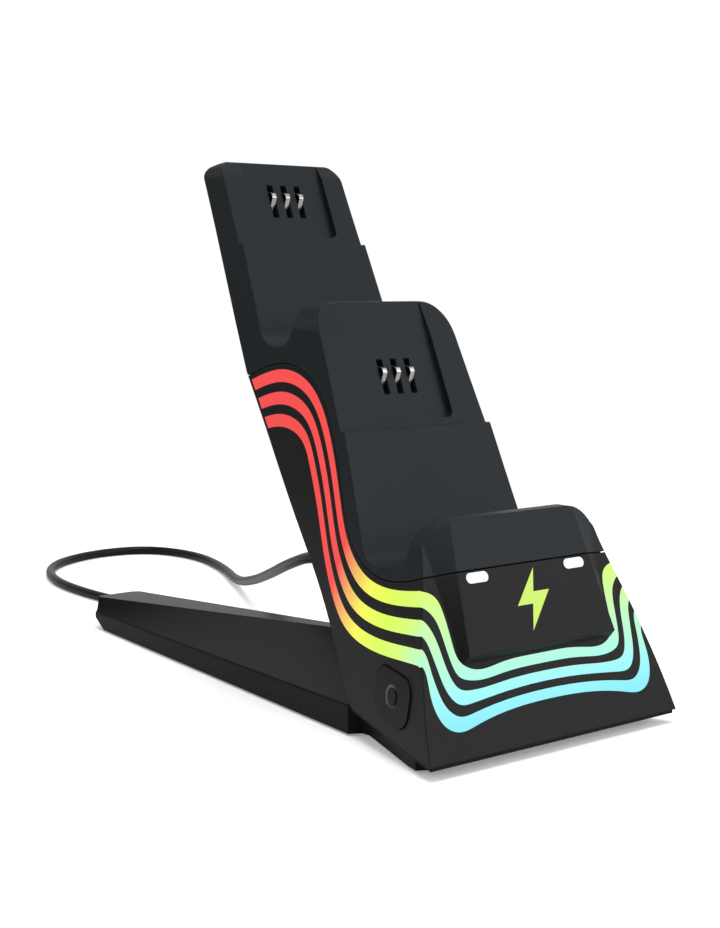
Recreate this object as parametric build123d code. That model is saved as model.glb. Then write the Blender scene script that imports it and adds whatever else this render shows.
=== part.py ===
from build123d import *
from collections import namedtuple
import math
import os

# Controller charging dock: a raked tower with two cradles on a base tray with a long rear leg.
# Millimetres. X to the right, Y to the back from the tower's front edge, Z up from the desk.

# Walls and fits
wall = 2.4
clearance = 0.3
thin_wall = 1.6

# Flanks: the half width falls with height, narrows to the back and swells at the front corner
foot_half = 44.9
top_half = 21.8
flare_height = 160.0
flare_power = 1.8
foot_taper = 0.27
swell = 3.0
swell_height = 48.0
swell_depth = 55.0
flank_levels = (0, 12, 24, 36, 48, 76, 104, 132, 160)
flank_front = -10.0
flank_back = 128.0

# Side profile of the tower
skirt_height = 3.6
heel_depth = 43.9
heel_height = 8.2
front_rake = 0.377
lip_height = 59.3
lip_thickness = 1.8
lip_round = 0.8
back_bend_depth = 100.5
back_bend_height = 93.0
top_height = 153.4
top_depth = 7.4
top_fall = 2.4
step_depth = 1.8
panel_rake = 0.437
crown_thickness = 6.8
crown_draft = 1.7

Cradle = namedtuple("Cradle", "valley_front valley_floor valley_rise valley_width front_round back_round "
                    "seat_rake step_height panel_rise crown_run crown_rise recess_half slot_rise")
lower = Cradle(24.2, 45.2, 2.4, 17.2, 2.5, 8.0, 0.3785, 79.0, 24.5, 5.1, 9.5, 15.2, 14.2)
upper = Cradle(80.3, 100.6, 0.0, 12.3, 6.0, 8.0, 0.418, 129.5, 20.1, 2.9, 3.8, 14.4, 13.1)

# Rounded corners of the lip, the lower backrest and the tower top, seen from the front
lip_corner = 14.0
crown_corner = 9.0
top_corner = 5.5

# Parting line between the two shells of the tower, outside the uppermost light band, with a fine reveal
parting_share = -0.12
parting_front = 46.1
parting_rise = 0.3
reveal = 0.35
reveal_depth = 0.8

# Raised shield on the front
shield_raise = 2.6
shield_foot = (26.9, 24.8)
shield_head = (31.3, 62.0)
shield_bevel_foot = (26.4, 25.9)
shield_bevel_head = (21.6, 62.0)

# Light bands: guide lines of the three bands' inner and outer edges on the flank and on the front
band_depth = 1.6
band_share = 0.22
band_gap_share = 0.17
flank_inner = ((108, 87.6), (96, 91.6), (80.5, 94.4), (69.6, 90.4), (60.3, 77.9), (54.3, 61.7),
               (49.4, 50.4), (42.5, 44.2), (32.5, 41.6), (15.3, 43.0), (5, 44.3))
flank_outer = ((98, 75.2), (90, 77.6), (81.5, 78.6), (72.4, 75.1), (68.5, 68.5), (64.2, 57.5),
               (58.7, 40.6), (50.5, 29.6), (36.5, 25.4), (10.5, 25.9), (1, 25.6))
front_inner = ((37, 43.4), (33.6, 42.8), (30.6, 41.2), (29.1, 37), (28.6, 30),
               (27.7, 25.9), (25.2, 23.9), (14, 23.7))
front_outer = ((43.2, 27.2), (39.5, 25.6), (39.3, 20.5), (38.9, 15.6), (36.9, 11.9),
               (33.4, 10.1), (27, 10.7), (14, 12.6))
front_middle = (24.1, 13.1)
band_end_margin = 1.2
strip_thickness = 1.0

# Lights and emblem on the shield
pill_offset = 17.5
pill_height = 44.0
pill_length = 7.5
pill_width = 2.7
lens_depth = 1.8
emblem_height = 37.0
emblem_scale = 1.1

# Button on the left flank
button_centre = (21.0, 16.2)
button_length = 18.0
button_width = 12.6
button_round = 4.6
button_tilt = 6.0
button_proud = 0.4
button_travel = 1.0
button_flange = 1.2
button_stem = 4.0
ring_mark = 6.0
ring_depth = 0.3

# Charging contacts
recess_depth = 2.0
recess_head_depth = 1.1
recess_rise = 2.1
recess_round = 2.0
contact_pitch = 5.0
slot_width = 2.1
slot_length = 10.2
leaf_width = 1.5
leaf_thickness = 0.35
carrier_thickness = 1.4
contact_board_thickness = 1.0

# Back cover
cover_foot = 15.0
cover_head = 144.0
cover_screw_heights = (38.0, 130.0)
boss_diameter = 6.0
boss_length = 8.0
screw_diameter = 2.2
screw_head = 4.4
screw_head_depth = 1.2
screw_length = 7.0

# Base tray, leg and feet
foot_thickness = 0.6
rim_inset = 0.6
rim_height = 1.1
plinth_front = 6.6
plinth_half = 41.4
plinth_corner = (3.8, 2.4)
plinth_shoulder = (1.2, 4.0)
plinth_heel_half = 29.2
plug_rise = 2.4
leg_root_half = 32.6
leg_root_depth = 45.5
leg_root_height = 8.1
leg_tip_half = 9.9
leg_tip_depth = 212.3
leg_tip_height = 5.5
leg_undercut = 9.8
ridge_root_half = 0.3
ridge_root_height = 21.0
ridge_tip_half = 8.4
ridge_tip_height = 10.5
leg_tip_bevel = 5.0
tray_floor = 2.0
leg_screw_depths = (82.0, 176.0)
plinth_screw = (27.4, 36.4)
pad_inset = 3.0
pad_end = 196.0
front_foot = (34.0, 13.6)
front_foot_diameter = 7.0
ballast_span = (96.0, 160.0)
ballast_thickness = 2.5

# Main board and switch
board_size = (54.0, 18.0, 1.6)
board_centre = (-4.0, 22.0)
board_height = 13.0
post_diameter = 5.0
post_offset = 14.0
switch_size = (4.0, 6.0, 6.0)

# Cable
cable_diameter = 3.5
gland_height = 38.0
collar_diameter = 12.0
collar_depth = 70.3
gland_flange = 11.0
gland_flange_thickness = 1.2
gland_neck = 7.0
gland_sleeve = 14.0
gland_tip = 5.4
desk_gap = 0.05
cable_rest = cable_diameter / 2 + desk_gap
coil_centre = (74.0, 112.0)
coil_radius = 19.0
coil_layers = (3, 2)
tie_width = 8.0
tie_thickness = 0.9
plug_grip = (16.0, 24.0, 8.0)
plug_boot = 10.0
plug_shell_size = (12.0, 12.0, 4.5)
plug_shell_wall = 0.4

# The dock is centred on its own depth, without the cable
frame_shift = -leg_tip_depth / 2


def side_half(depth, height):
    rest = 1 - height / flare_height
    share = min(height / swell_height, 1)
    bulge = swell * 4 * share * (1 - share) * (1 - depth / swell_depth)
    return top_half + (foot_half - top_half) * rest ** flare_power - foot_taper * rest ** 3 * depth + bulge


def front_depth(height):
    return front_rake * (height - skirt_height)


def back_depth(height):
    run = (back_bend_depth - heel_depth) / (back_bend_height - heel_height)
    return heel_depth + run * (height - heel_height)


def seat_head(cradle):
    return (cradle.valley_front + cradle.valley_width
            + cradle.seat_rake * (cradle.step_height - cradle.valley_floor))


def panel_foot(cradle):
    return seat_head(cradle) + step_depth


def panel_bend(cradle):
    return panel_foot(cradle) + panel_rake * cradle.panel_rise


def crown_front(cradle):
    return panel_bend(cradle) + cradle.crown_run


def crown_height(cradle):
    return cradle.step_height + cradle.panel_rise + cradle.crown_rise


def across(corners, half, rounds=None):
    # Prism along X over a side outline given as (depth, height) corners
    radii = rounds if rounds else [0] * len(corners)
    face = make_face(FilletPolyline(*corners, radius=radii, close=True))
    return extrude(Plane.YZ * face, amount=half, both=True)


def backrest(cradle):
    # Corners and roundings of one cradle from the valley to the crown
    valley_back = cradle.valley_front + cradle.valley_width
    bend = cradle.step_height + cradle.panel_rise
    return [(valley_back, cradle.valley_floor, cradle.back_round),
            (seat_head(cradle), cradle.step_height, 0),
            (panel_foot(cradle), cradle.step_height, 0),
            (panel_bend(cradle), bend, 4.0),
            (crown_front(cradle), crown_height(cradle), 1.5)]


def tower_corners():
    lip_front = front_depth(lip_height)
    crown_back = crown_front(lower) + crown_thickness
    corners = [(0, skirt_height, 0),
               (lip_front, lip_height, lip_round),
               (lip_front + lip_thickness, lip_height, lip_round),
               (lower.valley_front, lower.valley_floor + lower.valley_rise, lower.front_round)]
    corners += backrest(lower)
    corners += [(crown_back, crown_height(lower), 4.5),
                (crown_back + crown_draft, upper.valley_floor, upper.front_round)]
    corners += backrest(upper)
    corners += [(crown_front(upper) + top_depth, top_height - top_fall, 2.5),
                (back_bend_depth, back_bend_height, 12.0),
                (heel_depth, heel_height, 0)]
    return corners


def flank_section(depth, inset):
    # Upright section between the flanks at one depth, drawn in by an inset
    right = [(side_half(depth, level) - inset, level) for level in flank_levels]
    left = [(-half, level) for half, level in right]
    outline = Spline(*right) + Line(right[-1], left[-1]) + Spline(*left) + Line(left[0], right[0])
    return Plane(origin=(0, depth, 0), x_dir=(1, 0, 0), z_dir=(0, -1, 0)) * make_face(outline)


def flank_column(inset=0.0):
    return loft([flank_section(flank_front, inset), flank_section(flank_back, inset)], ruled=True)


def corner_cutter(half, top, radius, front, back, inset=0.0):
    # Waste outside one rounded upper corner and its mirror image
    size = radius + 8
    square = Pos(half - radius + size / 2, top - radius + size / 2) * Rectangle(size, size)
    waste = square - Pos(half - radius, top - radius) * Circle(radius - inset)
    plane = Plane(origin=(0, back, 0), x_dir=(1, 0, 0), z_dir=(0, -1, 0))
    cutter = extrude(plane * waste, amount=back - front)
    return cutter + mirror(cutter, about=Plane.YZ)


def crown_cutters(inset=0.0):
    crown_mid = crown_front(lower)
    crown_half = side_half(crown_mid, crown_height(lower) - crown_corner)
    top_mid = crown_front(upper)
    top_width = side_half(top_mid, top_height - top_corner)
    hump = corner_cutter(crown_half, crown_height(lower), crown_corner, crown_mid - 16,
                         crown_mid + crown_thickness + 4, inset)
    top = corner_cutter(top_width, top_height, top_corner, top_mid - 14, top_mid + 14, inset)
    return hump + top


def mirrored(part):
    return part + mirror(part, about=Plane.YZ)


wide = foot_half + 15
column = flank_column()
inner_column = flank_column(wall)
fitted_column = flank_column(wall + clearance)

# Tower block
corners = tower_corners()
profile = [(depth, height) for depth, height, rounding in corners]
roundings = [rounding for depth, height, rounding in corners]
tower_prism = across(profile, wide, roundings)
lip_half = side_half(front_depth(lip_height - lip_corner), lip_height - lip_corner)
lip_middle = front_depth(lip_height)
lip_cutter = corner_cutter(lip_half, lip_height, lip_corner, lip_middle - 16, lip_middle + lip_thickness + 5)
tower = (tower_prism & column) - crown_cutters() - lip_cutter

# Hollow of the tower, open at the foot, with the lip left solid
below = -20.0
hollow_corners = [(front_depth(below), below),
                  (front_depth(lower.valley_floor), lower.valley_floor)]
hollow_corners += [(depth, height) for depth, height, rounding in corners[4:-1]]
hollow_corners += [(back_depth(below), below)]
hollow_face = offset(make_face(Polyline(*hollow_corners, close=True)), amount=-wall, kind=Kind.INTERSECTION)
hollow_prism = extrude(Plane.YZ * hollow_face, amount=wide, both=True)
hollow = (hollow_prism & inner_column) - crown_cutters(wall)

# Front plane with its local Y running up the slope
front_angle = math.atan(front_rake)
front_normal = (0, -math.cos(front_angle), math.sin(front_angle))


def front_plane(lift=0.0):
    origin = Vector(0, 0, skirt_height) + Vector(front_normal) * lift
    return Plane(origin=origin, x_dir=(1, 0, 0), z_dir=front_normal)


def up_slope(height):
    return (height - skirt_height) / math.cos(front_angle)


def trapezoid(foot, head):
    low = up_slope(foot[1])
    high = up_slope(head[1])
    return make_face(Polyline((-foot[0], low), (foot[0], low), (head[0], high), (-head[0], high), close=True))


shield_root = front_plane(-0.5) * trapezoid(shield_foot, shield_head)
shield_base = front_plane() * trapezoid(shield_foot, shield_head)
shield_face = front_plane(shield_raise) * trapezoid(shield_bevel_foot, shield_bevel_head)
under_lip = across([(-wide, 0), (-wide, lip_height), (wide, lip_height), (wide, 0)], wide)
shield = ((loft([shield_base, shield_face]) + loft([shield_root, shield_base])) & under_lip) - lip_cutter
shell = (tower + shield) - hollow

# Light bands
edge_shares = [0, band_share, band_share + band_gap_share, 2 * band_share + band_gap_share,
               2 * (band_share + band_gap_share), 1]


def blend(inner, outer, share):
    return [(a[0] + (b[0] - a[0]) * share, a[1] + (b[1] - a[1]) * share) for a, b in zip(inner, outer)]


def ribbon(first, second):
    # Face between two smooth edges that run the same way
    start = Line(first[0], second[0])
    end = Line(first[-1], second[-1])
    return make_face(Spline(*first) + end + Spline(*second) + start)


def front_edge(share):
    half = blend(front_inner, front_outer, share)
    middle = front_middle[0] + (front_middle[1] - front_middle[0]) * share
    return half + [(0, middle)] + [(-x, z) for x, z in reversed(half)]


def band_faces(number):
    shares = edge_shares[2 * number:2 * number + 2]
    flank = ribbon(*[blend(flank_inner, flank_outer, share) for share in shares])
    front = ribbon(*[front_edge(share) for share in shares])
    return flank, front


def front_slab(near, far):
    # Slab parallel to the front plane, between two depths below it
    reach = swell_height + 4
    return across([(front_depth(0) + near, 0), (front_depth(reach) + near, reach),
                   (front_depth(reach) + far, reach), (front_depth(0) + far, 0)], wide)


def on_flank(face, skin):
    return extrude(Plane.YZ * face, amount=wide, both=True) & skin


def on_front(face, skin):
    plane = Plane(origin=(0, swell_height, 0), x_dir=(1, 0, 0), z_dir=(0, -1, 0))
    return extrude(plane * face, amount=2 * swell_height) & skin


slope_share = 1 / math.cos(front_angle)
band_slab = front_slab(-wall, band_depth * slope_share)
stop_foot = back_depth(0) - band_end_margin
stop_head = back_depth(flare_height) - band_end_margin
band_stop = across([(stop_foot, 0), (stop_head, flare_height), (stop_head + wide, flare_height),
                    (stop_foot + wide, 0)], wide)
flank_skin = (tower_prism & column) - flank_column(band_depth) - band_slab - band_stop
front_skin = (tower_prism & column) & band_slab
bands = []
for number in range(3):
    flank_face, front_face = band_faces(number)
    bands.append(on_flank(flank_face, flank_skin) + on_front(front_face, front_skin))
    print("band", number, "solids", len(bands[-1].solids()))

# Strips of lights behind the middle band, on the inner walls
strip_flank, strip_front = band_faces(1)
inner_skin = inner_column - flank_column(wall + strip_thickness)
inside = hollow_prism & inner_column
strip_sides = on_flank(strip_flank, inner_skin & inside)
front_strip_slab = front_slab(wall * slope_share, (wall + strip_thickness) * slope_share)
front_strip = on_front(strip_front, front_strip_slab & flank_column(wall + strip_thickness + clearance))

# Lights and emblem
pill = front_plane(shield_raise) * Pos(0, up_slope(pill_height)) * SlotOverall(pill_length, pill_width)
pill_left = extrude(Pos(-pill_offset, 0, 0) * pill, amount=-lens_depth)
pill_right = extrude(Pos(pill_offset, 0, 0) * pill, amount=-lens_depth)
bolt_corners = [(2.2, 7.2), (-5.6, -1.2), (-0.6, -1.2), (-2.6, -7.4), (5.6, 1.6), (0.4, 1.6)]
bolt = make_face(Polyline(*[(x * emblem_scale, y * emblem_scale) for x, y in bolt_corners], close=True))
emblem = extrude(front_plane(shield_raise) * (Pos(0, up_slope(emblem_height)) * bolt), amount=-lens_depth)

# Button with its hole in the left flank
def button_outline(margin):
    outline = RectangleRounded(button_length + 2 * margin, button_width + 2 * margin, button_round + margin)
    return Plane.YZ * (Pos(*button_centre) * Rot(0, 0, button_tilt) * outline)


def left_prism(face):
    return extrude(face, amount=-wide)


flange_depth = wall + clearance + button_flange
button_skin = flank_column(-button_proud) - flank_column(flange_depth)
flange_skin = fitted_column - flank_column(flange_depth)
button_half = side_half(*button_centre)
switch_face = board_centre[0] - board_size[0] / 2
stem_tip = switch_face - button_travel - clearance
stem_axis = Plane(origin=(stem_tip, *button_centre), z_dir=(-1, 0, 0))
stem = extrude(stem_axis * Circle(button_stem / 2), amount=button_half + stem_tip - wall)
mark_axis = Plane(origin=(-button_half - button_proud - 2, *button_centre), z_dir=(1, 0, 0))
mark = extrude(mark_axis * (Circle(ring_mark / 2) - Circle(ring_mark / 2 - 0.7)), amount=2 + ring_depth)
button_flange_ring = left_prism(button_outline(button_flange)) & flange_skin
button = (left_prism(button_outline(0)) & button_skin) + button_flange_ring + stem - mark
shell = shell - left_prism(button_outline(clearance))


# Cradle panels: local X to the right, local Y up the panel, local Z out of it
panel_angle = math.atan(panel_rake)
panel_normal = (0, -math.cos(panel_angle), math.sin(panel_angle))


def panel_plane(cradle):
    return Plane(origin=(0, panel_foot(cradle), cradle.step_height), x_dir=(1, 0, 0), z_dir=panel_normal)


def panel_length(cradle):
    return cradle.panel_rise / math.cos(panel_angle)


def panel_box(cradle, half, foot, head, low, high):
    box = Pos(0, (foot + head) / 2, (low + high) / 2) * Box(2 * half, head - foot, high - low)
    return panel_plane(cradle).location * box


def recess(cradle):
    head = panel_length(cradle) + cradle.crown_rise + 4
    section = make_face(Polyline((recess_rise, 3), (recess_rise, -recess_depth), (head, -recess_head_depth),
                                 (head, 8), close=True))
    cut = extrude(Plane.YZ * section, amount=cradle.recess_half, both=True)
    foot_edges = cut.edges().filter_by(Axis.Z).sort_by(Axis.Y)[:2]
    return panel_plane(cradle).location * fillet(foot_edges, recess_round)


def slot_middle(cradle):
    return cradle.slot_rise / math.cos(panel_angle)


def slots(cradle, low, high):
    cut = None
    for place in (-contact_pitch, 0, contact_pitch):
        middle = slot_middle(cradle)
        foot = middle - slot_length / 2
        box = Pos(place, 0, 0) * panel_box(cradle, slot_width / 2, foot, foot + slot_length, low, high)
        cut = box if cut is None else cut + box
    return cut


pad_back = -recess_depth - thin_wall
carrier_back = pad_back - carrier_thickness
board_back = carrier_back - contact_board_thickness
leaf_root = (-4.0, carrier_back + 0.5)
leaf_path = [(-4.6, leaf_root[1]), (-3.4, leaf_root[1]), (0.7, -0.5), (2.0, -0.5), (3.7, -3.4)]
leaf_bends = [0.8, 0.6, 0.6]


def leaf(cradle, place):
    line = FilletPolyline(*leaf_path, radius=leaf_bends)
    strip = make_face(offset(line, amount=leaf_thickness / 2, kind=Kind.INTERSECTION))
    solid = extrude(Plane.YZ * strip, amount=leaf_width / 2, both=True)
    return panel_plane(cradle).location * Pos(place, slot_middle(cradle), 0) * solid


carriers = []
contact_boards = []
for cradle in (upper, lower):
    foot = slot_middle(cradle) - slot_length / 2 - 2.2
    head = slot_middle(cradle) + slot_length / 2 + 2.0
    carrier = panel_box(cradle, cradle.recess_half - 1, foot, head, carrier_back, pad_back)
    carriers.append(carrier - slots(cradle, carrier_back - 1, pad_back + 1))
    contact_boards.append(panel_box(cradle, cradle.recess_half - 1, foot, head, board_back, carrier_back))

# Back cover with its collar, and the screw bosses beside it
cover_skin = wall / math.cos(math.atan((back_bend_depth - heel_depth) / (back_bend_height - heel_height)))
crown_back_depth = crown_front(upper) + top_depth
upper_run = (crown_back_depth - back_bend_depth) / (top_height - top_fall - back_bend_height)


def rear_depth(height):
    if height < back_bend_height:
        return back_depth(height)
    return back_bend_depth + upper_run * (height - back_bend_height)


def rear_strip(foot, head, thickness, overhang=0.0):
    return across([(rear_depth(foot) + overhang, foot), (back_bend_depth + overhang, back_bend_height),
                   (rear_depth(head) + overhang, head), (rear_depth(head) - thickness, head),
                   (back_bend_depth - thickness, back_bend_height),
                   (rear_depth(foot) - thickness, foot)], wide)


def rear_plane(height):
    # Plane on the outer back face, looking into the tower
    run = upper_run if height > back_bend_height else back_depth(1) - back_depth(0)
    angle = math.atan(run)
    return Plane(origin=(0, rear_depth(height), height), x_dir=(-1, 0, 0),
                 z_dir=(0, -math.cos(angle), math.sin(angle)))


def screw(plane):
    head = extrude(plane * Circle(screw_head / 2), amount=screw_head_depth)
    return head + extrude(plane * Circle(screw_diameter / 2), amount=screw_length)


shell = shell - (rear_strip(cover_foot, cover_head, wall * 2, wall) & inner_column)
cover_space = rear_strip(cover_foot, cover_head, cover_skin, wall)
back_cover = rear_strip(cover_foot + clearance, cover_head - clearance, cover_skin)
back_cover = back_cover & fitted_column & tower_prism
back_screws = []
for height in cover_screw_heights:
    plane = rear_plane(height)
    inner_half = side_half(rear_depth(height), height) - wall
    offset_x = inner_half - boss_diameter / 2 - clearance
    for place in (-offset_x, offset_x):
        seat = Plane(origin=plane.origin + Vector(place, 0, 0), x_dir=plane.x_dir, z_dir=plane.z_dir)
        web = math.copysign(boss_diameter / 2 + wall, place)
        boss = extrude(seat * Circle(boss_diameter / 2), amount=wall + boss_length)
        boss_web = extrude(seat * (Pos(-web / 2, 0) * Rectangle(abs(web), boss_diameter / 2)),
                           amount=wall + boss_length)
        shell = shell + (((boss + boss_web) & column & tower_prism) - cover_space)
        fastener = screw(seat)
        shell = shell - fastener
        back_cover = back_cover - fastener
        back_screws.append(fastener)

collar_axis = Plane(origin=(0, collar_depth, gland_height), x_dir=(1, 0, 0), z_dir=(0, 1, 0))
collar_length = collar_depth - rear_depth(gland_height) + cover_skin
collar = extrude(collar_axis * Circle(collar_diameter / 2), amount=-collar_length)
back_cover = back_cover + collar - extrude(collar_axis * Circle(gland_neck / 2), amount=-2 * collar_length)
gland_seat = extrude(collar_axis * Circle(gland_flange / 2), amount=gland_flange_thickness)
gland_stem = extrude(collar_axis * Circle(gland_neck / 2), amount=-collar_length)
sleeve_start = collar_depth + gland_flange_thickness
sleeve_axis = Plane(origin=(0, sleeve_start, gland_height), x_dir=(1, 0, 0), z_dir=(0, 1, 0))
sleeve_end = Plane(origin=(0, sleeve_start + gland_sleeve, gland_height), x_dir=(1, 0, 0), z_dir=(0, 1, 0))
gland_cone = loft([sleeve_axis * Circle(gland_neck / 2), sleeve_end * Circle(gland_tip / 2)])
cable_gland = gland_seat + gland_stem + gland_cone

# Two shells of the tower, with the reveal sunk along their joint
front_guides = 2


def parting_line(lower_by):
    drop = lower_by / (flank_inner[-1][1] - flank_outer[-1][1])
    line = blend(flank_inner, flank_outer, parting_share + drop)[:-front_guides]
    corner = front_depth(parting_front)
    ahead = parting_front + parting_rise * (corner - flank_front)
    return line + [(corner, parting_front - lower_by), (flank_front, ahead - lower_by)]


parting = parting_line(0)
above = flare_height + wall
cradle_frame = Polyline(parting[-1], (-above, parting[-1][1]), (-above, above), (above, above),
                        (above, parting[0][1]), parting[0])
cradle_region = extrude(Plane.YZ * make_face(Spline(*parting) + cradle_frame), amount=wide, both=True)
lenses = pill_left + pill_right + emblem
cradle_shell = (shell & cradle_region) - lenses
for cradle in (upper, lower):
    pad_head = panel_length(cradle) + clearance
    pad = panel_box(cradle, cradle.recess_half + wall, clearance, pad_head, pad_back, -recess_depth / 2)
    cradle_shell = cradle_shell + (pad & tower_prism & fitted_column)
    cradle_shell = cradle_shell - recess(cradle) - slots(cradle, pad_back - 1, 2)
    cradle_shell = cradle_shell - Compound(children=back_screws)
side_housing = shell - cradle_region - lenses
for band in bands:
    side_housing = side_housing - band
reveal_face = ribbon(parting, parting_line(reveal))
reveal_skin = (column - flank_column(reveal_depth)) + front_slab(-2 * shield_raise, reveal_depth)
side_housing = side_housing - on_flank(reveal_face, reveal_skin)
print("leaf roots", [tuple(panel_plane(cradle).from_local_coords(
    (0, slot_middle(cradle) + leaf_root[0], leaf_root[1]))) for cradle in (upper, lower)])


# Base tray and leg
def skirt_edge(depth):
    return skirt_height + (heel_height - skirt_height) * depth / heel_depth


def leg_half(depth):
    run = (leg_tip_half - leg_root_half) / (leg_tip_depth - leg_root_depth)
    return leg_root_half + run * (depth - leg_root_depth)


def ridge_level(depth):
    run = (ridge_tip_height - ridge_root_height) / (leg_tip_depth - leg_root_depth)
    return ridge_root_height + run * (depth - leg_root_depth)


plug_back = heel_depth - wall / math.cos(front_angle) - 2 * clearance
tray_side = [(plinth_front, foot_thickness),
             (plinth_front, skirt_edge(plinth_front)),
             (heel_depth, heel_height),
             (leg_root_depth, leg_root_height),
             (leg_tip_depth, leg_tip_height),
             (leg_tip_depth - leg_undercut, foot_thickness)]
corner_depth = plinth_front + plinth_corner[1]
tray_plan = [(plinth_half - plinth_corner[0], plinth_front), (plinth_half, corner_depth),
             (plinth_half - plinth_shoulder[0], corner_depth + plinth_shoulder[1]),
             (plinth_heel_half, plug_back), (plinth_heel_half, heel_depth - clearance),
             (leg_root_half, leg_root_depth), (leg_tip_half, leg_tip_depth)]
tray_outline = tray_plan + [(-x, y) for x, y in reversed(tray_plan)]
tray_block = extrude(make_face(Polyline(*tray_outline, close=True)), amount=ridge_root_height)
plug_side = [(plinth_front, skirt_edge(plinth_front)), (plinth_front, skirt_edge(plinth_front) + plug_rise),
             (plug_back, skirt_edge(plug_back) + plug_rise), (plug_back, skirt_edge(plug_back))]
rim_side = [(rim_inset, skirt_edge(rim_inset) - rim_height), (rim_inset, skirt_edge(rim_inset)),
            (heel_depth, heel_height), (heel_depth, heel_height - rim_height)]
tray_plug = across(plug_side, wide) & fitted_column
tray_rim = across(rim_side, wide) & flank_column(rim_inset)
base_tray = (across(tray_side, wide) & tray_block) + tray_plug + tray_rim
trough_start = leg_root_depth + 12
trough_end = leg_tip_depth - leg_undercut - 4
trough_plan = [(leg_half(trough_start) - wall, trough_start), (leg_half(trough_end) - wall, trough_end)]
trough_outline = trough_plan + [(-x, y) for x, y in reversed(trough_plan)]
trough_floor = foot_thickness + tray_floor
trough = Pos(0, 0, trough_floor) * extrude(make_face(Polyline(*trough_outline, close=True)), amount=20)
base_tray = base_tray - trough

# Leg cover: a ridge with a narrow top that widens to the back
root_section = [(leg_root_half, leg_root_height), (ridge_root_half, ridge_root_height),
                (-ridge_root_half, ridge_root_height), (-leg_root_half, leg_root_height)]
tip_section = [(leg_tip_half, leg_tip_height), (ridge_tip_half, ridge_tip_height),
               (-ridge_tip_half, ridge_tip_height), (-leg_tip_half, leg_tip_height)]


def cover_section(corners, depth):
    plane = Plane(origin=(0, depth, 0), x_dir=(1, 0, 0), z_dir=(0, -1, 0))
    return plane * make_face(Polyline(*corners, close=True))


def between(root, tip, start, end):
    return loft([cover_section(root, start), cover_section(tip, end)], ruled=True)


ridge = between(root_section, tip_section, leg_root_depth, leg_tip_depth)
sunk_root_half = leg_root_half - 2 * wall
sunk_ridge = ridge_root_height - 1.3 * wall
sunk_root = [(sunk_root_half, leg_root_height - wall), (ridge_root_half, sunk_ridge),
             (-ridge_root_half, sunk_ridge), (-sunk_root_half, leg_root_height - wall)]
sunk_tip = [(leg_tip_half - wall, leg_tip_height - wall), (ridge_tip_half - wall, ridge_tip_height - wall),
            (wall - ridge_tip_half, ridge_tip_height - wall), (wall - leg_tip_half, leg_tip_height - wall)]
cover_hollow = between(sunk_root, sunk_tip, trough_start, trough_end)
tip_cutter = Pos(leg_tip_half, leg_tip_depth) * Rot(0, 0, 45) * Rectangle(leg_tip_bevel, leg_tip_bevel)
leg_bosses = []
base_screws = []
for depth in leg_screw_depths:
    boss_height = ridge_level(depth) - trough_floor - thin_wall
    leg_bosses.append(Pos(0, depth, trough_floor) * extrude(Circle(boss_diameter / 2), amount=boss_height))
    base_screws.append(screw(Plane(origin=(0, depth, foot_thickness))))
leg_cover = ridge - cover_hollow
for boss in leg_bosses:
    leg_cover = leg_cover + boss
leg_cover = leg_cover - tower_prism - mirrored(extrude(tip_cutter, amount=30))
base_tray = base_tray - mirrored(extrude(tip_cutter, amount=30))

# Screw bosses of the tower and posts for the board on the plinth
for place in (-plinth_screw[0], plinth_screw[0]):
    base_screws.append(screw(Plane(origin=(place, plinth_screw[1], foot_thickness))))
    upright = Pos(place, plinth_screw[1], 0) * extrude(Circle(boss_diameter / 2), amount=18)
    reach = math.copysign(boss_diameter, place)
    web = Pos(place + reach / 2, plinth_screw[1], 9) * Box(abs(reach), boss_diameter / 2, 18)
    tall = across([(0, skirt_edge(0) + plug_rise), (heel_depth, skirt_edge(heel_depth) + plug_rise),
                   (heel_depth, 30), (0, 30)], wide)
    side_housing = side_housing + ((upright + web) & tall & column)
for fastener in base_screws:
    base_tray = base_tray - fastener
    leg_cover = leg_cover - fastener
    side_housing = side_housing - fastener
board_floor = board_height - board_size[2]
for place in (-post_offset, post_offset):
    post = Pos(board_centre[0] + place, board_centre[1], foot_thickness)
    base_tray = base_tray + post * extrude(Circle(post_diameter / 2), amount=board_floor - foot_thickness)

main_board = Pos(*board_centre, board_floor + board_size[2] / 2) * Box(*board_size)
switch_x = switch_face + switch_size[0] / 2
button_switch = Pos(switch_x, button_centre[0], board_height + switch_size[2] / 2) * Box(*switch_size)

# Ballast, pad and feet
ballast_half = leg_half(ballast_span[1]) - wall - clearance
ballast_length = ballast_span[1] - ballast_span[0]
ballast_place = Pos(0, sum(ballast_span) / 2, trough_floor + ballast_thickness / 2)
ballast_plate = ballast_place * Box(2 * ballast_half, ballast_length, ballast_thickness)
pad_start = leg_root_depth + 1
pad_plan = [(leg_half(pad_start) - pad_inset, pad_start), (leg_half(pad_end) - pad_inset, pad_end)]
pad_outline = pad_plan + [(-x, y) for x, y in reversed(pad_plan)]
leg_pad = extrude(make_face(Polyline(*pad_outline, close=True)), amount=foot_thickness)
foot_disc = extrude(Circle(front_foot_diameter / 2), amount=foot_thickness)
front_feet = [Pos(place, front_foot[1], 0) * foot_disc for place in (-front_foot[0], front_foot[0])]

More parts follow.
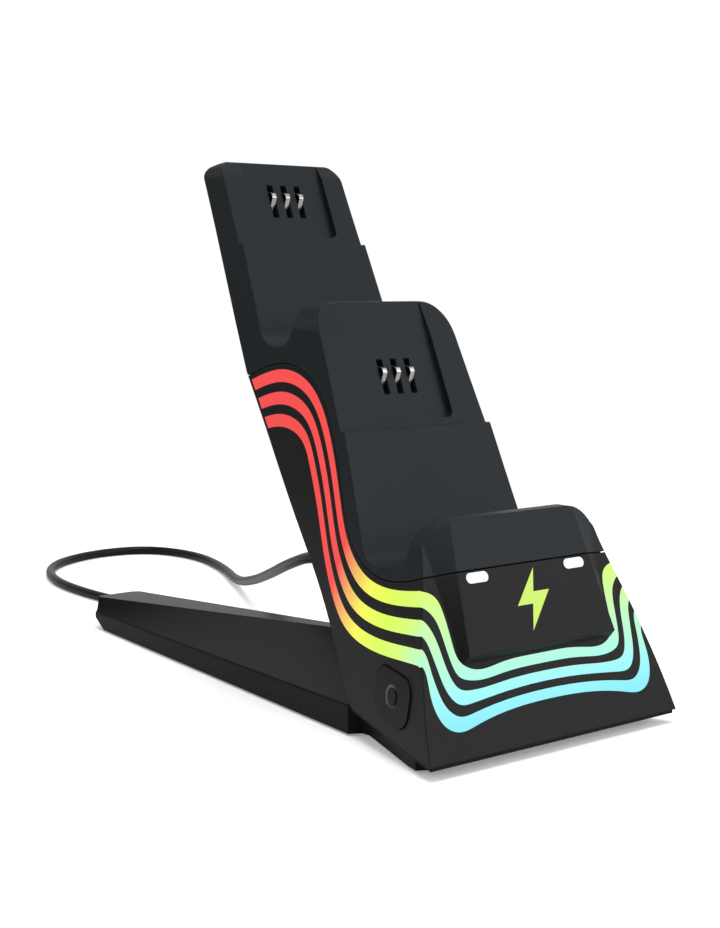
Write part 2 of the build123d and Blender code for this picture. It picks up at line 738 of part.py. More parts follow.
# Cable from the gland, through the air, along the desk and back to the tied coil
plug_level = plug_grip[2] / 2 + desk_gap
coil_lift = plug_level - cable_diameter
outer_turn = coil_radius + cable_diameter
coil_entry_angle = math.radians(196.3)
coil_entry = (coil_centre[0] + outer_turn * math.cos(coil_entry_angle),
              coil_centre[1] + outer_turn * math.sin(coil_entry_angle), coil_lift + cable_diameter / 2)
cable_start = sleeve_start + gland_sleeve
cable_route = [(0, cable_start, gland_height), (0, cable_start + 15, gland_height), (12, 128.4, 30.6),
               (32, 165.8, 20.0), (52, 201.6, 10.8), (72, 240, 2.6), (90, 275, cable_rest),
               (99.5, 309, cable_rest), (93, 336, cable_rest), (68, 341, cable_rest), (38, 326, cable_rest),
               (21, 295, cable_rest), (16.2, 258, cable_rest), (19, 222, cable_rest), (27, 190, cable_rest),
               (41, 146, cable_rest), coil_entry]


def bend_radii(points):
    radii = []
    for before, here, after in zip(points, points[1:], points[2:]):
        first = Vector(*here) - Vector(*before)
        second = Vector(*after) - Vector(*here)
        turn = math.radians(first.get_angle(second))
        radii.append(0.45 * min(first.length, second.length) / math.tan(turn / 2))
    return radii


cable_bends = bend_radii(cable_route)
print("cable bends", [round(radius, 1) for radius in cable_bends])
cable_path = FilletPolyline(*cable_route, radius=cable_bends)
cable_head = Plane(origin=cable_route[0], x_dir=(1, 0, 0), z_dir=(0, 1, 0))
usb_cable = sweep(cable_head * Circle(cable_diameter / 2), path=cable_path)
cable_section = math.pi * cable_diameter ** 2 / 4
print("cable volume", round(usb_cable.volume), "expected", round(cable_section * cable_path.length),
      "length", round(cable_path.length))

coil_width = coil_layers[0] * cable_diameter
coil_depth = coil_layers[1] * cable_diameter
coil_outline = chamfer(Rectangle(coil_width, coil_depth).vertices(), cable_diameter / 3)
coil_section = Plane.XZ * (Pos(coil_radius, coil_depth / 2) * coil_outline)
coil_place = Pos(coil_centre[0], coil_centre[1], coil_lift)
cable_coil = coil_place * revolve(coil_section, Axis.Z)
tie_block = Box(coil_width + 2 * tie_thickness, tie_width, coil_depth + 2 * tie_thickness)
cable_tie = coil_place * (Pos(0, -coil_radius, coil_depth / 2) * Rot(0, 0, 90) * tie_block) - cable_coil

# Plug at the end of the outer turn
plug_axis = (coil_centre[0] + outer_turn, coil_centre[1] + 4)
boot_middle = Pos(plug_axis[0], plug_axis[1] + plug_boot / 2, plug_level) * Rot(-90, 0, 0)
boot = boot_middle * Cone(gland_tip / 2, plug_grip[2] / 2 - thin_wall / 3, plug_boot)
grip_middle = plug_axis[1] + plug_boot + plug_grip[1] / 2
grip_blank = Box(*plug_grip)
grip_blank = fillet(grip_blank.edges().filter_by(Axis.Y), 2.5)
plug_body = (Pos(plug_axis[0], grip_middle, plug_level) * grip_blank) + boot - cable_coil
shell_middle = grip_middle + plug_grip[1] / 2 + plug_shell_size[1] / 2
shell_space = Box(plug_shell_size[0] - 2 * plug_shell_wall, plug_shell_size[1],
                  plug_shell_size[2] - 2 * plug_shell_wall)
tongue_gap = Pos(0, 0, 1.2) * Box(plug_shell_size[0], plug_shell_size[1], plug_shell_size[2] - 2.4)
plug_shell = Box(*plug_shell_size) - (shell_space & tongue_gap)
plug_shell = Pos(plug_axis[0], shell_middle, plug_level) * plug_shell

# Each node goes to its own file, in the dock's frame
nodes = {
    "side_housing": [side_housing],
    "cradle_shell": [cradle_shell],
    "back_cover": [back_cover],
    "base_tray": [base_tray],
    "leg_cover": [leg_cover],
    "leg_pad": [leg_pad],
    "front_feet": front_feet,
    "light_band_upper": [bands[0]],
    "light_band_middle": [bands[1]],
    "light_band_lower": [bands[2]],
    "indicator_lens_left": [pill_left],
    "indicator_lens_right": [pill_right],
    "emblem_lens": [emblem],
    "power_button": [button],
    "button_switch": [button_switch],
    "main_board": [main_board],
    "contact_carrier_upper": [carriers[0]],
    "contact_carrier_lower": [carriers[1]],
    "contact_board_upper": [contact_boards[0]],
    "contact_board_lower": [contact_boards[1]],
    "led_strip_left": [solid for solid in strip_sides.solids() if solid.center().X < 0],
    "led_strip_right": [solid for solid in strip_sides.solids() if solid.center().X > 0],
    "led_strip_front": [front_strip],
    "ballast_plate": [ballast_plate],
    "back_screws": back_screws,
    "base_screws": base_screws,
    "cable_gland": [cable_gland],
    "usb_cable": [usb_cable],
    "cable_coil": [cable_coil],
    "cable_tie": [cable_tie],
    "plug_body": [plug_body],
    "plug_shell": [plug_shell],
}
for name, cradle in (("upper", upper), ("lower", lower)):
    for side, place in (("left", -contact_pitch), ("middle", 0), ("right", contact_pitch)):
        nodes["contact_" + name + "_" + side] = [leaf(cradle, place)]

os.makedirs("parts", exist_ok=True)
for name, shapes in nodes.items():
    solids = [Pos(0, frame_shift, 0) * solid for shape in shapes for solid in shape.solids()]
    print(name, len(solids), round(sum(solid.volume for solid in solids)))
    export_step(Compound(children=solids), "parts/" + name + ".step")
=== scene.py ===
# %% [markdown]
# # A controller charging dock
# The dock is a raked tower with two cradles, one above the other. Three bands of light run down both
# flanks and meet round the front, a long leg steadies it at the back, and a thin lead leaves the back of
# the tower. The rigid shapes are loaded ready made, in metres, so this lesson is about finishes, light
# and a few small pieces: the lead, its strain relief, the plug's grip, the strap round the coil and the
# screws.

# %% Load the dock
import math

import bmesh
import bpy
from mathutils import Matrix, Vector


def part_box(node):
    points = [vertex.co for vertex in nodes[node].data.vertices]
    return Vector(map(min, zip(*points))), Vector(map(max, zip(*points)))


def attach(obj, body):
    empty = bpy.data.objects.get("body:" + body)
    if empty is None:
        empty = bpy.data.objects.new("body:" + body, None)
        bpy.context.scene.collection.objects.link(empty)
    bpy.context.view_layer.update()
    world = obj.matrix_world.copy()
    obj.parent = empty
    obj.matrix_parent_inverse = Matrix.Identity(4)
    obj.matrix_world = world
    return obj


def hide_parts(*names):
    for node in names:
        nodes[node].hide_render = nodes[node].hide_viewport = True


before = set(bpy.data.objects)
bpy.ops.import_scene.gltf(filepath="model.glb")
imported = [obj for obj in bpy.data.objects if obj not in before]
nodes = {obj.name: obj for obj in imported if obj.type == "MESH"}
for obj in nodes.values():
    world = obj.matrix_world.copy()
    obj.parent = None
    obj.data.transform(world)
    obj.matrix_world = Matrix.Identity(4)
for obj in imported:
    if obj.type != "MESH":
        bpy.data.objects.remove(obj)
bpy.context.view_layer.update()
# Depths below are measured from the tower's front edge, and this takes them to the frame's own origin
shift = -0.10615

# %% [markdown]
# ## The camera
# The camera stands low, in front of the dock and to its left. A long lens keeps the tower's upright edges
# nearly parallel. Blender's camera looks down its own -Z, so a tilt of 90 degrees looks at the horizon, a
# little less looks down, and a turn about Z swings it round the dock.

# %% Place the camera
camera_data = bpy.data.cameras.new("camera")
camera_data.sensor_width = 36.0
camera_data.lens = 66.05
camera = bpy.data.objects.new("camera", camera_data)
camera.location = (-0.30938, -0.39774, 0.11840)
camera.rotation_euler = (math.radians(90 - 6.10), 0, math.radians(-39.805))
bpy.context.scene.collection.objects.link(camera)
bpy.context.scene.camera = camera
print("camera", [round(v, 3) for v in camera.location], "lens", camera_data.lens)

# %% [markdown]
# ## Sums in a material
# A material is a graph of nodes. Written by hand, one line of arithmetic takes a dozen lines of node
# code, so a small class wraps a socket: adding or multiplying two of them adds a Math node. One method
# makes every other kind of node, with its settings first and its inputs after.


# %% A socket that does arithmetic
class Wire:
    def __init__(self, tree, socket=None):
        self.tree = tree
        self.socket = socket

    def make(self, kind, settings=None, inputs=None, out=0):
        node = self.tree.nodes.new(kind)
        for name, value in (settings or {}).items():
            if name == "stops":
                while len(node.color_ramp.elements) < len(value):
                    node.color_ramp.elements.new(0.5)
                for element, (place, colour) in zip(node.color_ramp.elements, value):
                    element.position = place
                    element.color = (*colour, 1)
            else:
                setattr(node, name, value)
        for name, value in (inputs or {}).items():
            if isinstance(value, Wire):
                self.tree.links.new(value.socket, node.inputs[name])
            else:
                node.inputs[name].default_value = value
        return Wire(self.tree, node.outputs[out])

    def sum(self, operation, first, second=0.0, clamp=False):
        settings = {"operation": operation, "use_clamp": clamp}
        return self.make("ShaderNodeMath", settings, {0: first, 1: second})

    def __add__(self, other):
        return self.sum("ADD", self, other)

    def __sub__(self, other):
        return self.sum("SUBTRACT", self, other)

    def __rsub__(self, other):
        return self.sum("SUBTRACT", other, self)

    def __mul__(self, other):
        return self.sum("MULTIPLY", self, other)

    def __truediv__(self, other):
        return self.sum("DIVIDE", self, other)

    def __gt__(self, other):
        return self.sum("GREATER_THAN", self, other)

    def __lt__(self, other):
        return self.sum("LESS_THAN", self, other)

    __radd__ = __add__
    __rmul__ = __mul__

    def power(self, other):
        return self.sum("POWER", self, other)

    def between(self, low, high):
        # 0 below low, 1 above high, and a soft ramp between them
        return self.make("ShaderNodeMapRange", {"clamp": True, "interpolation_type": "SMOOTHSTEP"},
                         {"Value": self, "From Min": low, "From Max": high})

    def mix(self, first, second):
        # A colour between two colours, with this value as the share of the second. Sockets of the Mix node
        # share their names, so its colours go by number.
        colours = {"Factor": self, 6: first, 7: second}
        return self.make("ShaderNodeMix", {"data_type": "RGBA"}, colours, out=2)


# %% [markdown]
# ## A finish
# Every finish in this lesson is one Principled shader. This class makes the material, sets the shader's
# inputs by their names and keeps the place in the dock at hand, because each grain and print below is a
# sum over that place. The noise and the bump are methods, so that a finish reads as a short recipe.


# %% A material and its place in the dock
class Finish(Wire):
    def __init__(self, name, **inputs):
        self.material = bpy.data.materials.new(name)
        self.material.use_nodes = True
        super().__init__(self.material.node_tree)
        self.shader = self.tree.nodes["Principled BSDF"]
        self.set(**inputs)
        self.where = self.make("ShaderNodeTexCoord", out="Object")

    def set(self, **inputs):
        for name, value in inputs.items():
            socket = self.shader.inputs[name.replace("_", " ")]
            if isinstance(value, Wire):
                self.tree.links.new(value.socket, socket)
            else:
                socket.default_value = value

    def axis(self, number):
        return self.make("ShaderNodeSeparateXYZ", None, {0: self.where}, out=number)

    def noise(self, scale, detail=2.0, rough=0.5):
        return self.make("ShaderNodeTexNoise", None,
                         {"Vector": self.where, "Scale": scale, "Detail": detail, "Roughness": rough})

    def bump(self, height, distance, soft_edge=0.0):
        inputs = {"Height": height, "Distance": distance, "Strength": 1.0}
        if soft_edge:
            inputs["Normal"] = self.make("ShaderNodeBevel", {"samples": 6}, {"Radius": soft_edge})
        self.set(Normal=self.make("ShaderNodeBump", None, inputs))


# %% Put a finish on nodes
def dress(finish, *names):
    for name in names:
        piece = nodes[name]
        piece.data.materials.clear()
        piece.data.materials.append(finish.material)
    print(finish.material.name, "on", ", ".join(names))


# %% [markdown]
# ## Floor
# The dock stands on a white sweep that keeps its shadow. A curved backdrop would do for one view, but a
# flat floor that turns into plain white light far from the dock hides the horizon from every side. That
# white is only for rays that come from the camera or pass through a clear piece, so it does not light the
# dock any more.


# %% A white floor that keeps the shadow
def seen_by(wire, ray):
    return wire.make("ShaderNodeLightPath", out=ray)


def seen_direct(wire):
    camera_ray = seen_by(wire, "Is Camera Ray")
    return wire.sum("ADD", camera_ray, seen_by(wire, "Is Transmission Ray"), clamp=True)


floor_half = 6.0
fade_start, fade_end = 0.26, 0.62
floor_mesh = bmesh.new()
bmesh.ops.create_grid(floor_mesh, x_segments=1, y_segments=1, size=floor_half)
floor_data = bpy.data.meshes.new("floor")
floor_mesh.to_mesh(floor_data)
floor_mesh.free()
floor = bpy.data.objects.new("floor", floor_data)
bpy.context.scene.collection.objects.link(floor)
floor_finish = Finish("white_floor", Roughness=0.9, Specular_IOR_Level=0.0, Emission_Strength=1.0)
floor_x = floor_finish.axis(0)
floor_y = floor_finish.axis(1)
far = (floor_x * floor_x + floor_y * floor_y).power(0.5).between(fade_start, fade_end)
black_light, near_light, white_light = (0, 0, 0, 1), (0.25, 0.25, 0.25, 1), (1, 1, 1, 1)
glow_seen = far.mix(near_light, white_light)
floor_finish.set(Base_Color=far.mix((0.86, 0.86, 0.86, 1), black_light),
                 Emission_Color=seen_direct(floor_finish).mix(black_light, glow_seen))
floor_data.materials.append(floor_finish.material)
print("floor", 2 * floor_half, "m wide, plain white from", fade_end, "m out")

# %% [markdown]
# ## Sky
# With one even sky, satin plastic would mirror the same grey from all sides. Here reflections see a
# studio that is bright on the right and dim on the left, which keeps the left flank and the leg dark and
# lets the ridge of the leg catch a pale streak. For the camera the sky is white, and the light that it
# sheds on the dock is even.

# %% A sky with a bright and a dim side
sky_light = 0.42
mirror_dim, mirror_range = -0.20, 0.78
world = bpy.data.worlds.new("studio")
bpy.context.scene.world = world
world.use_nodes = True
sky = Wire(world.node_tree)
sky_node = world.node_tree.nodes["Background"]
sky_node.inputs["Color"].default_value = (1, 1, 1, 1)
toward = sky.make("ShaderNodeTexCoord", out="Generated")
right_side = sky.make("ShaderNodeSeparateXYZ", None, {0: toward}).between(-0.35, 0.35)
mirrored = seen_by(sky, "Is Glossy Ray") * (mirror_range * right_side + mirror_dim)
strength = sky_light + (1 - sky_light) * seen_direct(sky) + mirrored
world.node_tree.links.new(strength.socket, sky_node.inputs["Strength"])
bpy.context.scene.view_settings.view_transform = "Standard"
print("sky light", sky_light)

# %% [markdown]
# ## Lamps
# A big soft lamp above gives the tops of the cradles their pale edges, a weaker one fills the front, and
# a third rims the back. They are discs, because the highlight of a disc on a rounded edge has no corners.


# %% Three soft lamps
def soft_lamp(name, place, aim, size, watts):
    data = bpy.data.lights.new(name, "AREA")
    data.shape = "DISK"
    data.size = size
    data.energy = watts
    lamp = bpy.data.objects.new(name, data)
    lamp.location = place
    lamp.rotation_euler = (Vector(aim) - Vector(place)).to_track_quat("-Z", "Y").to_euler()
    bpy.context.scene.collection.objects.link(lamp)


soft_lamp("lamp_above", (-0.05, -0.15, 1.15), (0, -0.02, 0.06), 0.8, 11.0)
soft_lamp("lamp_front", (0.55, -0.95, 0.55), (0, -0.05, 0.07), 0.7, 5.0)
soft_lamp("lamp_rim", (-0.75, 0.75, 0.6), (0, 0.0, 0.08), 0.6, 2.0)

# %% [markdown]
# ## Moulded plastic
# Both shells are spark-eroded mouldings: matt charcoal with a very fine grain. The grain is a noise a few
# tenths of a millimetre across that drives the bump and, a little, the roughness. Real mouldings have no
# razor edges, so a Bevel node turns the normals near an edge and gives it the thin highlight of a small
# radius. The cradles are a shade bluer than the housing, and the leg is smoother, so its ridge mirrors
# the pale sweep. The leg's colour is darker than the housing's: painted shade that keeps its dim sides
# dark.


# %% Charcoal plastics
def moulded(name, colour, rough=0.5, grain=2600.0, depth=0.00002, edge=0.0005, shine=0.10):
    plastic = Finish(name, Specular_IOR_Level=shine)
    fine = plastic.noise(grain, 2.0, 0.6)
    cloud = plastic.noise(35.0, 3.0, 0.5)
    light = tuple(c * 1.14 for c in colour)
    dark = tuple(c * 0.88 for c in colour)
    plastic.set(Base_Color=cloud.mix((*dark, 1), (*light, 1)), Roughness=rough - 0.06 + 0.12 * fine)
    plastic.bump(fine, depth, edge)
    return plastic


dress(moulded("charcoal_housing", (0.0105, 0.0105, 0.0108)), "side_housing")
# The leg's darker base colour is painted shade for its dim sides, not a different plastic
smooth_leg_painted_shade = moulded("charcoal_leg_painted_shade", (0.0042, 0.0042, 0.0044), rough=0.34, depth=0.000006, shine=0.04)
dress(smooth_leg_painted_shade, "leg_cover")
dress(moulded("charcoal_cradle", (0.0125, 0.0155, 0.0180), rough=0.46), "cradle_shell")
black = moulded("black_moulding", (0.0085, 0.0085, 0.0090), rough=0.5, grain=1900.0, shine=0.06)
dress(black, "base_tray", "back_cover", "contact_carrier_upper", "contact_carrier_lower", "button_switch")

# %% [markdown]
# ## Bands of light
# Each band is a clear light guide with coloured lights behind it. The colour runs along the band, from
# red at the back through orange and yellow at the bend to mint and sky blue at the front. It depends only
# on the place in the dock, so a ramp over a sum of depth and height gives it. The light is the guide's
# own: its body is dark, or the lamps would wash the colour out.

# %% Lit bands
glow = Finish("band_glow", Base_Color=(0.01, 0.01, 0.01, 1), Specular_IOR_Level=0.05,
              Emission_Strength=1.0)
rise_share, band_reach = 0.45, 0.15
along = (glow.axis(1) - shift + rise_share * glow.axis(2)) / band_reach
red, orange, yellow = (0.92, 0.080, 0.078), (0.88, 0.34, 0.13), (0.95, 0.96, 0.11)
lime, leaf, mint = (0.73, 0.98, 0.11), (0.70, 0.97, 0.20), (0.46, 0.97, 0.74)
cyan, blue = (0.37, 0.96, 0.96), (0.26, 0.86, 0.96)
stops = [(0.05, blue), (0.09, cyan), (0.12, mint), (0.22, leaf), (0.29, lime),
         (0.37, yellow), (0.45, orange), (0.49, red), (0.95, red)]
hue = glow.make("ShaderNodeValToRGB", {"stops": stops}, {"Fac": along})
glow.set(Emission_Color=hue, Roughness=0.25 + 0.1 * glow.noise(900.0))
dress(glow, "light_band_upper", "light_band_middle", "light_band_lower")

# %% [markdown]
# ## Charge lights and emblem
# The two charge lights and the bolt on the front are small lenses that are lit from behind. They need no
# lamp of their own: a lens that emits its colour looks lit, and a faint haze keeps it from being one flat
# patch.


# %% Lit lenses
def lit(name, colour, strength):
    lens = Finish(name, Base_Color=(0.03, 0.03, 0.03, 1), Specular_IOR_Level=0.2,
                  Emission_Strength=strength)
    haze = lens.noise(420.0, 2.0, 0.5)
    dim = tuple(c * 0.95 for c in colour)
    lens.set(Emission_Color=haze.mix((*dim, 1), (*colour, 1)), Roughness=0.25 + 0.1 * haze)
    return lens


dress(lit("white_lens", (0.97, 0.98, 0.98), 1.05), "indicator_lens_left", "indicator_lens_right")
dress(lit("emblem_lens", (0.58, 0.87, 0.10), 1.0), "emblem_lens")

# %% [markdown]
# ## Button
# The button is the same plastic as the housing, with a ring printed in its round groove in a paler grey.
# The ring needs no mesh of its own: the distance from the button's middle, measured in its own place,
# says where the print is.

# %% Button with a printed ring
button = Finish("button_plastic", Specular_IOR_Level=0.08)
button_grain = button.noise(2600.0, 2.0, 0.6)
button_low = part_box("power_button")[0]
ring_y, ring_z = 0.0210 + shift, 0.0162
ring_inner, ring_outer, face_depth = 0.0023, 0.0030, 0.004
across_y = button.axis(1) - ring_y
across_z = button.axis(2) - ring_z
from_middle = (across_y * across_y + across_z * across_z).power(0.5)
on_face = button.axis(0) < button_low[0] + face_depth
ring = (from_middle > ring_inner) * (from_middle < ring_outer) * on_face
button.set(Base_Color=ring.mix((0.0075, 0.0075, 0.0080, 1), (0.10, 0.10, 0.10, 1)),
           Roughness=0.42 + 0.12 * button_grain)
button.bump(button_grain, 0.00002, 0.0005)
dress(button, "power_button")

# %% [markdown]
# ## Metal
# The contacts are plated spring strip, the ballast and screws plain steel, and the plug's shell is bright
# plate. Fine streaks along the strip come from a noise that is stretched by a Mapping node.


# %% Metals
def metal(name, colour, rough, stretch, depth=0.000004):
    plate = Finish(name, Metallic=1.0)
    place = plate.make("ShaderNodeMapping", None, {"Vector": plate.where, "Scale": stretch})
    streak = plate.make("ShaderNodeTexNoise", None, {"Vector": place, "Scale": 1.0, "Detail": 3.0})
    dull = tuple(c * 0.8 for c in colour)
    plate.set(Base_Color=streak.mix((*dull, 1), (*colour, 1)), Roughness=rough - 0.06 + 0.14 * streak)
    plate.bump(streak, depth, 0.00012)
    return plate


sides = ("left", "middle", "right")
leaves = ["contact_" + level + "_" + side for level in ("upper", "lower") for side in sides]
dress(metal("plated_strip", (0.40, 0.39, 0.38), 0.27, (9000, 900, 900)), *leaves)
steel = metal("plain_steel", (0.56, 0.57, 0.58), 0.36, (2600, 300, 2600))
dress(steel, "ballast_plate", "back_screws", "base_screws")
dress(metal("bright_plate", (0.80, 0.80, 0.81), 0.2, (2600, 220, 2600)), "plug_shell")

# %% [markdown]
# ## Rubber, boards and lead
# The pad and feet are matt rubber with a coarser grain than the plastic, and the boards are green
# lacquer. The lead has a smooth satin sheath, the plug a moulded grip and the strap a coarse weave. All
# of them are the plastic's recipe with other numbers, so the same function makes them.

# %% Rubber, boards and sheath
rubber = moulded("matt_rubber", (0.014, 0.014, 0.014), rough=0.8, grain=1500.0, depth=0.00005)
dress(rubber, "leg_pad", "front_feet")
board = moulded("green_board", (0.025, 0.13, 0.055), rough=0.4, grain=700.0, depth=0.00001)
dress(board, "main_board", "contact_board_upper", "contact_board_lower",
      "led_strip_left", "led_strip_right", "led_strip_front")
sheath = moulded("black_sheath", (0.006, 0.006, 0.006), rough=0.38, grain=1800.0, depth=0.000006, edge=0)
dress(sheath, "usb_cable", "cable_coil", "cable_gland")
grip = moulded("plug_grip", (0.010, 0.010, 0.010), rough=0.5, grain=2200.0)
dress(grip, "plug_body")
weave = moulded("woven_strap", (0.012, 0.012, 0.012), rough=0.85, grain=900.0, depth=0.0001)
dress(weave, "cable_tie")

# %% [markdown]
# ## Small pieces
# The strain relief, the plug's grip, the strap and the screws are simple in the rigid model. Here each
# gets its real form. Every piece is built in its place, so that its object stays at the origin. One
# function closes its mesh, turns its faces outwards and names the nodes that it replaces.


# %% Make one object of a mesh
def piece(name, mesh, finish, slot, *replaced):
    bmesh.ops.remove_doubles(mesh, verts=mesh.verts, dist=0.000001)
    bmesh.ops.recalc_face_normals(mesh, faces=mesh.faces)
    data = bpy.data.meshes.new(name)
    mesh.to_mesh(data)
    mesh.free()
    data.materials.append(finish.material)
    made = bpy.data.objects.new(name, data)
    bpy.context.scene.collection.objects.link(made)
    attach(made, "dock")
    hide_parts(*replaced)
    print(name, len(data.polygons), "faces, in place of", ", ".join(replaced))
    return made


# %% [markdown]
# ## Strain relief
# Where the lead leaves the back of the tower, a soft ribbed sleeve keeps it from kinking. It is round, so
# a line of points is spun about its axis. A row of cylinders would leave walls inside it, and the spun
# line has none.


# %% Turned pieces with ribs
def turned(mesh, profile, x, z):
    # Spin a line of (radius, depth) points about the axis that runs along Y through x and z
    points = [mesh.verts.new((x, depth + shift, z + radius)) for radius, depth in profile]
    lines = [mesh.edges.new(pair) for pair in zip(points, points[1:])]
    bmesh.ops.spin(mesh, geom=points + lines, cent=(x, 0, z), axis=(0, 1, 0), angle=2 * math.pi, steps=32,
                   use_merge=True)


def ribbed(start, end, first, last, ribs, groove):
    # A taper of raised ribs with grooves between them, as (radius, depth) points
    points = []
    pitch = (end - start) / ribs
    for number in range(ribs):
        radius = first + (last - first) * number / (ribs - 1)
        front = start + pitch * number
        points += [(radius, front), (radius, front + 0.6 * pitch)]
        points += [(radius - groove, front + 0.65 * pitch), (radius - groove, front + 0.95 * pitch)]
    return points


# %% Strain relief
gland_z = 0.038
relief = bmesh.new()
flange = [(0.0017, 0.0600), (0.0034, 0.0600), (0.0034, 0.0703), (0.0053, 0.0703), (0.0055, 0.0706),
          (0.0055, 0.0712), (0.0053, 0.0715)]
sleeve = flange + ribbed(0.0716, 0.0853, 0.0035, 0.0027, 6, 0.0006) + [(0.0018, 0.0855)]
turned(relief, sleeve, 0, gland_z)
piece("strain_relief", relief, sheath, "cable_sheath", "cable_gland")

# %% [markdown]
# ## Plug grip
# The grip is a rounded block with finger ribs on both sides and a short sleeve towards the lead. A cube
# with bevelled long edges is cut by planes across it, and every second strip of its sides is raised. The
# ribs grow out of the block that way and need no joining.

# %% Plug grip
plug_x, plug_z = 0.0965, 0.00405
grip_size, grip_y, grip_round = (0.0152, 0.0238, 0.0076), 0.1380, 0.0024
grip_mesh = bmesh.new()
block = bmesh.ops.create_cube(grip_mesh, size=1.0)["verts"]
bmesh.ops.scale(grip_mesh, vec=grip_size, verts=block)
bmesh.ops.translate(grip_mesh, vec=(plug_x, grip_y + shift, plug_z), verts=block)
long_edges = [e for e in grip_mesh.edges if abs((e.verts[0].co - e.verts[1].co).y) > 0.02]
bmesh.ops.bevel(grip_mesh, geom=long_edges, offset=grip_round, segments=5, profile=0.5, affect="EDGES",
                material=-1)
rib_start, rib_pitch, rib_cuts = 0.1300, 0.0013, 12
for number in range(rib_cuts):
    cut = (plug_x, rib_start + rib_pitch * number + shift, plug_z)
    whole = grip_mesh.verts[:] + grip_mesh.edges[:] + grip_mesh.faces[:]
    bmesh.ops.bisect_plane(grip_mesh, geom=whole, plane_co=cut, plane_no=(0, 1, 0))
for face in grip_mesh.faces[:]:
    step = (face.calc_center_median().y - shift - rib_start) / rib_pitch
    if abs(face.normal.x) > 0.99 and 0 < step < rib_cuts - 1 and int(step) % 2 == 0:
        bmesh.ops.inset_region(grip_mesh, faces=[face], thickness=0.0001, depth=0.0003)
sleeve = [(0.0017, 0.1161)] + ribbed(0.1162, 0.1260, 0.0027, 0.0034, 4, 0.0005) + [(0.0020, 0.1265)]
turned(grip_mesh, sleeve, plug_x, plug_z)
plug = piece("plug_with_grip", grip_mesh, grip, "plug_plastic", "plug_body")

# %% [markdown]
# ## Strap
# A woven strap holds the coil together and lies just above the desk. It is a band round a rounded
# rectangle: a cube without its two ends, with its long edges rounded, gets a thickness. A bent strip
# would need its ends joined, and the cube is closed from the start.

# %% Strap round the coil
coil_x, coil_y, coil_turn = 0.074, 0.112, 0.019
strap_size, strap_z = (0.0078, 0.0120, 0.00838), 0.00424
strap_round, strap_thick = 0.0016, 0.0004
strap_mesh = bmesh.new()
block = bmesh.ops.create_cube(strap_mesh, size=1.0)["verts"]
bmesh.ops.scale(strap_mesh, vec=strap_size, verts=block)
bmesh.ops.translate(strap_mesh, vec=(coil_x, coil_y - coil_turn + shift, strap_z), verts=block)
open_ends = [f for f in strap_mesh.faces if abs(f.normal.x) > 0.9]
bmesh.ops.delete(strap_mesh, geom=open_ends, context="FACES_ONLY")
along_x = [e for e in strap_mesh.edges if abs((e.verts[0].co - e.verts[1].co).x) > 0.005]
bmesh.ops.bevel(strap_mesh, geom=along_x, offset=strap_round, segments=4, profile=0.5, affect="EDGES",
                material=-1)
bmesh.ops.recalc_face_normals(strap_mesh, faces=strap_mesh.faces)
bmesh.ops.solidify(strap_mesh, geom=strap_mesh.faces[:], thickness=strap_thick)
strap = piece("coil_strap", strap_mesh, weave, "tie_plastic", "cable_tie")

# %% [markdown]
# ## Screws
# Four screws hold the back cover and four the base. A head starts from a grid: the faces in the shape of
# a plus sink to make the cross, and the border is drawn in to a circle. A cross that is cut out with a
# boolean would leave long thin faces, and the grid leaves even ones.


# %% Screws with a cross
def screw(mesh, place, outward):
    head = bmesh.new()
    half, deep, cross_deep, cross_slope = 0.0022, 0.0011, 0.0007, 0.00008
    bmesh.ops.create_grid(head, x_segments=6, y_segments=6, size=half)
    for vert in head.verts:
        ring = max(abs(vert.co.x), abs(vert.co.y))
        if ring > 0.9 * half:
            vert.co.xy = vert.co.xy * (ring / vert.co.xy.length)
    cross = []
    for face in head.faces:
        x, y = (abs(v) for v in face.calc_center_median().xy)
        if min(x, y) < half / 3 and max(x, y) < 2 * half / 3:
            cross.append(face)
    bmesh.ops.inset_region(head, faces=cross, thickness=cross_slope, depth=-cross_deep)
    rim = [e for e in head.edges if e.is_boundary]
    side = bmesh.ops.extrude_edge_only(head, edges=rim)["geom"]
    lower_rim = [part for part in side if isinstance(part, bmesh.types.BMVert)]
    bmesh.ops.translate(head, vec=(0, 0, -deep), verts=lower_rim)
    turn = Vector(outward).to_track_quat("Z", "Y").to_matrix().to_4x4()
    bmesh.ops.transform(head, matrix=Matrix.Translation(place) @ turn, verts=head.verts)
    data = bpy.data.meshes.new("screw")
    head.to_mesh(data)
    head.free()
    mesh.from_mesh(data)
    bpy.data.meshes.remove(data)


# %% Screws of the back and the base
back_mesh = bmesh.new()
back_seats = ((0.02233, 0.06379, 0.038, (0, 0.8317, -0.5552)),
              (0.01703, 0.11649, 0.130, (0, 0.918, -0.3967)))
for x, y, z, normal in back_seats:
    for side in (-1, 1):
        screw(back_mesh, (side * x, y + shift, z), normal)
piece("back_cross_screws", back_mesh, steel, "steel", "back_screws")
base_mesh = bmesh.new()
for x, y in ((0, 0.082), (0, 0.176), (-0.0274, 0.0364), (0.0274, 0.0364)):
    screw(base_mesh, (x, y + shift, 0.0006), (0, 0, -1))
piece("base_cross_screws", base_mesh, steel, "steel", "base_screws")

# %% [markdown]
# ## The lead
# The lead is 3.5 mm thick and a little over a metre long. It leaves the strain relief level, sinks to the
# desk under its own weight, makes one wide loop behind the dock and comes back along the leg. One smooth
# NURBS line follows all of it. Its points are the corners of the route, so the line cuts inside them and
# bends evenly.

# %% Route of the lead
lead_thick = 0.0035
desk = lead_thick / 2 + 0.00005
route = [(0, 0.0855, gland_z), (0, 0.1005, gland_z), (0.012, 0.1284, 0.0306), (0.032, 0.1658, 0.020),
         (0.052, 0.2016, 0.0108), (0.072, 0.240, 0.0026), (0.090, 0.275, desk), (0.0995, 0.309, desk),
         (0.093, 0.336, desk), (0.068, 0.341, desk), (0.038, 0.326, desk), (0.021, 0.295, desk),
         (0.0162, 0.258, desk), (0.019, 0.222, desk), (0.027, 0.190, desk), (0.041, 0.146, desk)]
print("route of", len(route), "points to the coil")

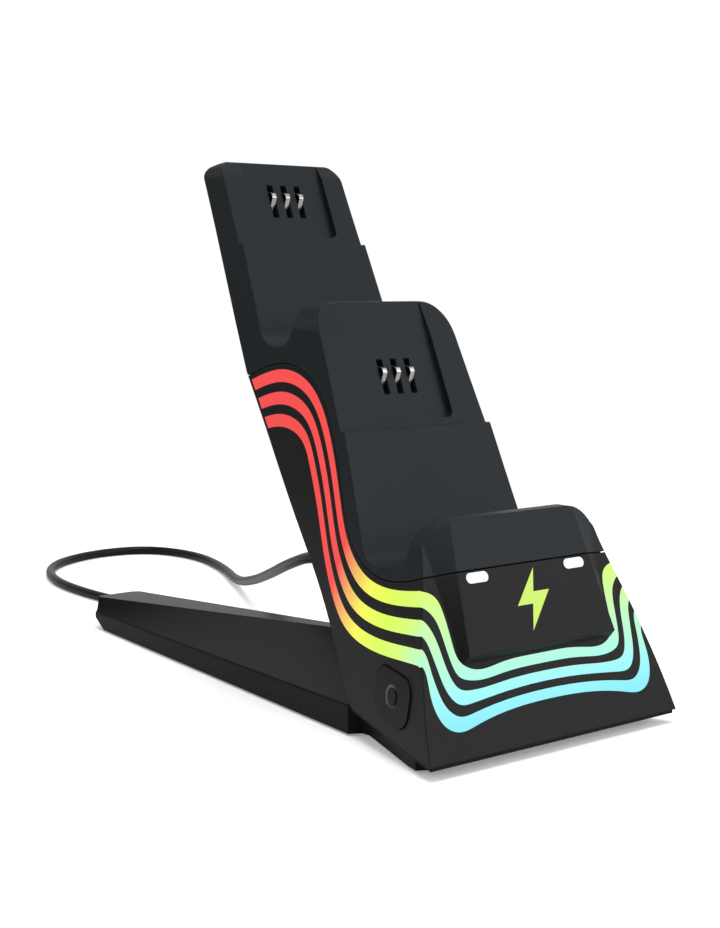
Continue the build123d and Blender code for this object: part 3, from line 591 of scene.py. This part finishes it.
# %% [markdown]
# ## The coil
# The rest of the lead is put away in a tied coil: three turns on the desk, from the outside in, and then
# the last ones on top of them, from the inside out to the plug. Each turn keeps its radius for most of
# its way and moves over to the next one near its end. The turns are more points of the same line, set a
# little outside the circle because the line cuts inside its points.

# %% Turns of the coil
coil_lift = 0.00055
coil_low = coil_lift + lead_thick / 2
coil_high = coil_low + lead_thick
per_turn = 16
corner_reach = 1 / math.cos(math.pi / per_turn)
turns = [(0.0225, coil_low), (0.0190, coil_low), (0.0155, coil_low),
         (0.0173, coil_high), (0.0207, coil_high)]
start_angle = 196.3
even_share, change_share = 0.7, 0.3
coil_steps = int(per_turn * (len(turns) - 1 + (360 - start_angle) / 360)) - 1
for step in range(coil_steps + 1):
    done = step / per_turn
    first = min(int(done), len(turns) - 1)
    second = min(first + 1, len(turns) - 1)
    share = max(0.0, (done - first - even_share) / change_share)
    radius = (turns[first][0] + (turns[second][0] - turns[first][0]) * share) * corner_reach
    height = turns[first][1] + (turns[second][1] - turns[first][1]) * share
    angle = math.radians(start_angle) + 2 * math.pi * done
    route.append((coil_x + radius * math.cos(angle), coil_y + radius * math.sin(angle), height))
print("coil points", coil_steps + 1, "ends at", [round(v, 4) for v in route[-1]])
route += [(0.0953, 0.1072, 0.0054), (0.0964, 0.1130, 0.0046), (plug_x, 0.1180, plug_z)]
route = [(x, y + shift, z) for x, y, z in route]

# %% One line for the lead
lead_curve = bpy.data.curves.new("lead", "CURVE")
lead_curve.dimensions = "3D"
lead_curve.bevel_depth = lead_thick / 2
lead_curve.bevel_resolution = 4
lead_curve.resolution_u = 6
lead_curve.use_fill_caps = True
line = lead_curve.splines.new("NURBS")
line.points.add(len(route) - 1)
for point, place in zip(line.points, route):
    point.co = (*place, 1)
line.order_u = 3
line.use_endpoint_u = True
lead = bpy.data.objects.new("lead", lead_curve)
lead_curve.materials.append(sheath.material)
bpy.context.scene.collection.objects.link(lead)
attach(lead, "dock")
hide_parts("usb_cable", "cable_coil")
print("lead of", len(route), "points")

# %% [markdown]
# ## Last look
# The scene is brought up to date once more at the end.

# %% Bring the scene up to date
bpy.context.view_layer.update()
